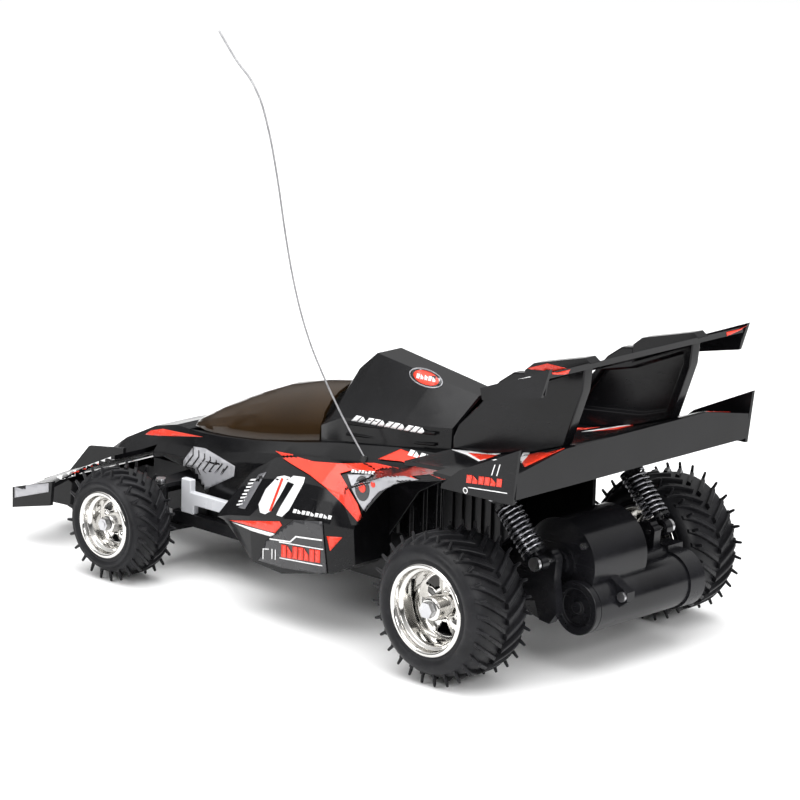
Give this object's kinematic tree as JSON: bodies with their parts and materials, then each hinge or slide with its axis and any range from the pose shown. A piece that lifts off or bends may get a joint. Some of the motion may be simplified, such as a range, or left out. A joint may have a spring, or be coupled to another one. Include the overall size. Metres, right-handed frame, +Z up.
{
  "type": "remote control car",
  "caption": "Off-road remote control racing buggy with studded tyres, smoked canopy, side pods, twin rear wings, swinging geared rear axle and a tall whip antenna.",
  "frame": {"origin": "on the ground under the middle of the car", "axes": "+X forwards, +Y to the car's left, +Z up"},
  "size_m": [0.478, 0.248, 0.3585],
  "materials": {
    "gloss_black": "glossy moulded",
    "chassis_black": "fine moulded grain",
    "canopy_smoke": "smoked brown see-through plastic",
    "liner_grey": "matt",
    "arm_ice": "satin",
    "gearbox_grey": "fine moulded grain",
    "rubber_black": "matt rubber",
    "chrome_plate": "plated plastic",
    "steel": "bare",
    "motor_can": "plated can",
    "spring_steel": "bare wire",
    "gear_white": "acetal",
    "brass_pinion": "machined",
    "cell_sleeve": "sleeved",
    "board_green": "solder mask",
    "grommet_rubber": "matt"
  },
  "bodies": {
    "car": {"chassis_tub": "chassis_black", "body_shell": "gloss_black", "nose_cowl": "gloss_black", "canopy": "canopy_smoke", "cockpit_liner": "liner_grey", "engine_cover": "gloss_black", "side_pod_left": "gloss_black", "side_pod_right": "gloss_black", "rear_wing": "gloss_black", "upper_wing": "gloss_black", "tail_fin_left": "gloss_black", "tail_fin_right": "gloss_black", "front_wing": "gloss_black", "front_bumper": "chassis_black", "battery_cells": "cell_sleeve", "circuit_board": "board_green", "suspension_beam": "chassis_black", "radius_arms": "arm_ice", "kingpins": "steel", "steering_motor": "motor_can", "swing_pin": "steel", "upper_shock_pins": "steel", "antenna_wire": "spring_steel", "antenna_base": "grommet_rubber", "body_screws": "steel"},
    "battery_door": {"battery_door": "chassis_black"},
    "power_switch": {"power_switch": "chassis_black"},
    "steering_gear": {"steering_gear": "gear_white"},
    "tie_rod": {"tie_rod": "chassis_black"},
    "knuckle_left": {"knuckle_left": "chassis_black", "stub_axle_left": "steel", "front_nut_left": "steel"},
    "front_wheel_left": {"front_tyre_left": "rubber_black", "front_rim_left": "chrome_plate"},
    "shock_body_left": {"shock_body_left": "gearbox_grey", "shock_spring_left": "spring_steel"},
    "shock_rod_left": {"shock_rod_left": "steel"},
    "knuckle_right": {"knuckle_right": "chassis_black", "stub_axle_right": "steel", "front_nut_right": "steel"},
    "front_wheel_right": {"front_tyre_right": "rubber_black", "front_rim_right": "chrome_plate"},
    "shock_body_right": {"shock_body_right": "gearbox_grey", "shock_spring_right": "spring_steel"},
    "shock_rod_right": {"shock_rod_right": "steel"},
    "rear_swing": {"gearbox_left_half": "gearbox_grey", "gearbox_right_half": "gearbox_grey", "motor_end_cap": "gearbox_grey", "drive_motor": "motor_can", "gearbox_screws": "steel", "lower_shock_pins": "steel"},
    "rear_wheels": {"rear_axle": "steel", "axle_gear": "gear_white", "rear_tyre_left": "rubber_black", "rear_tyre_right": "rubber_black", "rear_rim_left": "chrome_plate", "rear_rim_right": "chrome_plate", "rear_nuts": "steel"},
    "idler_gear": {"idler_gear": "gear_white"},
    "motor_pinion": {"motor_pinion": "brass_pinion"}
  },
  "joints": [
    {"name": "steer_left", "type": "hinge", "parent": "car", "child": "knuckle_left", "pos_m": [0.117, 0.066, 0.038], "axis": [0, 0, 1], "range_deg": [-18, 18]},
    {"name": "steer_right", "type": "hinge", "parent": "car", "child": "knuckle_right", "pos_m": [0.117, -0.066, 0.038], "axis": [0, 0, 1], "range_deg": [-18, 18]},
    {"name": "tie_rod_slide", "type": "slide", "parent": "car", "child": "tie_rod", "axis": [0, 1, 0], "range_m": [-0.00566, 0.00566]},
    {"name": "steering_gear_turn", "type": "hinge", "parent": "car", "child": "steering_gear", "pos_m": [0.1269, 0, 0.045], "axis": [0, 0, 1], "range_deg": [-64.8, 64.8]},
    {"name": "front_wheel_spin_left", "type": "hinge", "parent": "knuckle_left", "child": "front_wheel_left", "pos_m": [0.117, 0.1005, 0.038], "axis": [0, 1, 0], "continuous": true},
    {"name": "front_wheel_spin_right", "type": "hinge", "parent": "knuckle_right", "child": "front_wheel_right", "pos_m": [0.117, -0.1005, 0.038], "axis": [0, 1, 0], "continuous": true},
    {"name": "rear_swing", "type": "hinge", "parent": "car", "child": "rear_swing", "pos_m": [-0.122, 0, 0.046], "axis": [0, 1, 0], "range_deg": [-3, 5], "stiffness_Nm_per_rad": 6, "springref_deg": -3},
    {"name": "rear_axle_spin", "type": "hinge", "parent": "rear_swing", "child": "rear_wheels", "pos_m": [-0.174, 0, 0.048], "axis": [0, 1, 0], "continuous": true},
    {"name": "idler_spin", "type": "hinge", "parent": "rear_swing", "child": "idler_gear", "pos_m": [-0.1999, 0, 0.06593], "axis": [0, 1, 0], "continuous": true},
    {"name": "motor_spin", "type": "hinge", "parent": "rear_swing", "child": "motor_pinion", "pos_m": [-0.21702, 0, 0.0413], "axis": [0, 1, 0], "continuous": true},
    {"name": "shock_tilt_left", "type": "hinge", "parent": "car", "child": "shock_body_left", "pos_m": [-0.173, 0.058, 0.1085], "axis": [0, 1, 0], "range_deg": [-2.39, 3.98]},
    {"name": "shock_travel_left", "type": "slide", "parent": "shock_body_left", "child": "shock_rod_left", "axis": [0.6816, 0, 0.7317], "range_m": [-0.0042, 0.007], "deforming": ["shock_spring_left"]},
    {"name": "shock_tilt_right", "type": "hinge", "parent": "car", "child": "shock_body_right", "pos_m": [-0.173, -0.058, 0.1085], "axis": [0, 1, 0], "range_deg": [-2.39, 3.98]},
    {"name": "shock_travel_right", "type": "slide", "parent": "shock_body_right", "child": "shock_rod_right", "axis": [0.6816, 0, 0.7317], "range_m": [-0.0042, 0.007], "deforming": ["shock_spring_right"]},
    {"name": "power_switch_slide", "type": "slide", "parent": "car", "child": "power_switch", "axis": [1, 0, 0], "range_m": [0, 0.004]},
    {"name": "battery_door_hinge", "type": "hinge", "parent": "car", "child": "battery_door", "pos_m": [0.046, 0, 0.0234], "axis": [0, -1, 0], "range_deg": [0, 85]}
  ],
  "couplings": [
    {"joint": "steer_right", "follows": "steer_left", "ratio": 1},
    {"joint": "tie_rod_slide", "follows": "steer_left", "m_per_rad": 0.018},
    {"joint": "steering_gear_turn", "follows": "steer_left", "ratio": 3.6},
    {"joint": "idler_spin", "follows": "rear_axle_spin", "ratio": -3.5},
    {"joint": "motor_spin", "follows": "rear_axle_spin", "ratio": 14},
    {"joint": "shock_tilt_left", "follows": "rear_swing", "ratio": 0.796},
    {"joint": "shock_travel_left", "follows": "rear_swing", "m_per_rad": 0.0802},
    {"joint": "shock_tilt_right", "follows": "rear_swing", "ratio": 0.796},
    {"joint": "shock_travel_right", "follows": "rear_swing", "m_per_rad": 0.0802}
  ]
}
